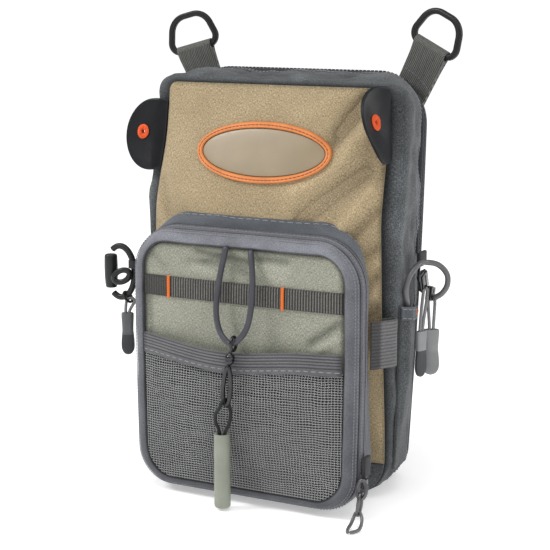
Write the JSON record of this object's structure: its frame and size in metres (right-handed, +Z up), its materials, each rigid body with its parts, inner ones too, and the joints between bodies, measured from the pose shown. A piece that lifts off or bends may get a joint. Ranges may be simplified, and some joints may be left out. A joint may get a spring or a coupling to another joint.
{
  "type": "fly fishing chest pack",
  "caption": "Upright zipped chest pack with a tan front, a zipped front pocket with an open mesh pocket, rings on webbing tabs, rubber tool tabs and hanging pulls.",
  "frame": {"origin": "on the flat base, under the middle of the main bag", "axes": "+Z up, -Y towards the front pocket, +X to the side with the side pocket"},
  "size_m": [0.2146, 0.1102, 0.2823],
  "materials": {
    "slate_cloth": "heathered slate polyester",
    "tan_canvas": "heathered tan canvas",
    "dark_piping": "dark welt",
    "zipper_tape": "zipper tape and coil",
    "badge_leather": "smooth beige",
    "orange_rubber": "satin orange",
    "lavender_cloth": "brushed grey-violet",
    "sage_cloth": "heathered sage",
    "ribbed_webbing": "ribbed webbing",
    "tab_webbing": "twill webbing",
    "orange_thread": "bartack thread",
    "mesh_net": "open grey net",
    "mesh_binding": "ribbed elastic",
    "bungee_grey": "smooth matte cord",
    "steel": "gunmetal",
    "cord_black": "black cord",
    "tube_rubber": "matte sage",
    "tab_rubber": "satin black",
    "ring_plastic": "charcoal",
    "dark_tape": "dark tape",
    "slider_black": "gloss black",
    "cord_grey": "grey cord",
    "pull_rubber": "satin grey",
    "clip_plastic": "charcoal"
  },
  "bodies": {
    "bag": {"main_gusset": "slate_cloth", "base_panel": "slate_cloth", "back_panel": "slate_cloth", "pocket_gusset": "slate_cloth", "side_pocket_right": "slate_cloth", "side_pocket_hem": "slate_cloth", "front_panel": "tan_canvas", "back_piping": "dark_piping", "main_zipper": "zipper_tape", "pocket_zipper": "zipper_tape", "badge_face": "badge_leather", "badge_rim": "orange_rubber", "eyelet_left": "orange_rubber", "eyelet_right": "orange_rubber", "pocket_rim": "lavender_cloth", "pocket_front": "sage_cloth", "webbing_band": "ribbed_webbing", "web_loop_right": "ribbed_webbing", "shoulder_tab_left": "tab_webbing", "shoulder_tab_right": "tab_webbing", "band_tack_left": "orange_thread", "band_tack_right": "orange_thread", "side_tack": "orange_thread", "pocket_mesh": "mesh_net", "mesh_binding": "mesh_binding", "bungee_loop": "bungee_grey", "swivel_eye": "steel", "swivel_barrel": "steel", "snap_hook": "steel", "zip_ring_right": "steel", "pocket_ring": "steel", "pocket_wire_loop": "steel", "pull_cord_loop": "cord_black", "pull_tube": "tube_rubber", "tool_tab_left": "tab_rubber", "tool_tab_right": "tab_rubber", "zip_tab_right": "dark_tape", "side_tape_left": "dark_tape", "pocket_end_tab": "dark_tape", "slider_right_upper": "slider_black", "slider_right_lower": "slider_black", "pocket_slider": "slider_black", "accessory_cord": "cord_grey", "pull_cord_right_a": "cord_grey", "pull_cord_right_b": "cord_grey", "pull_cord_left": "cord_grey", "pocket_cord_loop": "cord_grey", "pull_tab_right_a": "pull_rubber", "pull_tab_right_b": "pull_rubber", "pull_tab_left": "pull_rubber", "side_ring_left": "clip_plastic", "side_barrel_left": "clip_plastic", "side_hook_left": "clip_plastic", "side_eyelet_left": "clip_plastic"},
    "ring_left": {"d_ring_left": "ring_plastic"},
    "ring_right": {"d_ring_right": "ring_plastic"}
  },
  "joints": [
    {"name": "d_ring_left_hinge", "type": "hinge", "parent": "bag", "child": "ring_left", "pos_m": [-0.0771, 0.04, 0.2564], "axis": [0.9659, 0, 0.2588], "range_deg": [-90, 90]},
    {"name": "d_ring_right_hinge", "type": "hinge", "parent": "bag", "child": "ring_right", "pos_m": [0.0783, 0.04, 0.2594], "axis": [0.8754, -0.2588, -0.4082], "range_deg": [-90, 90]}
  ]
}
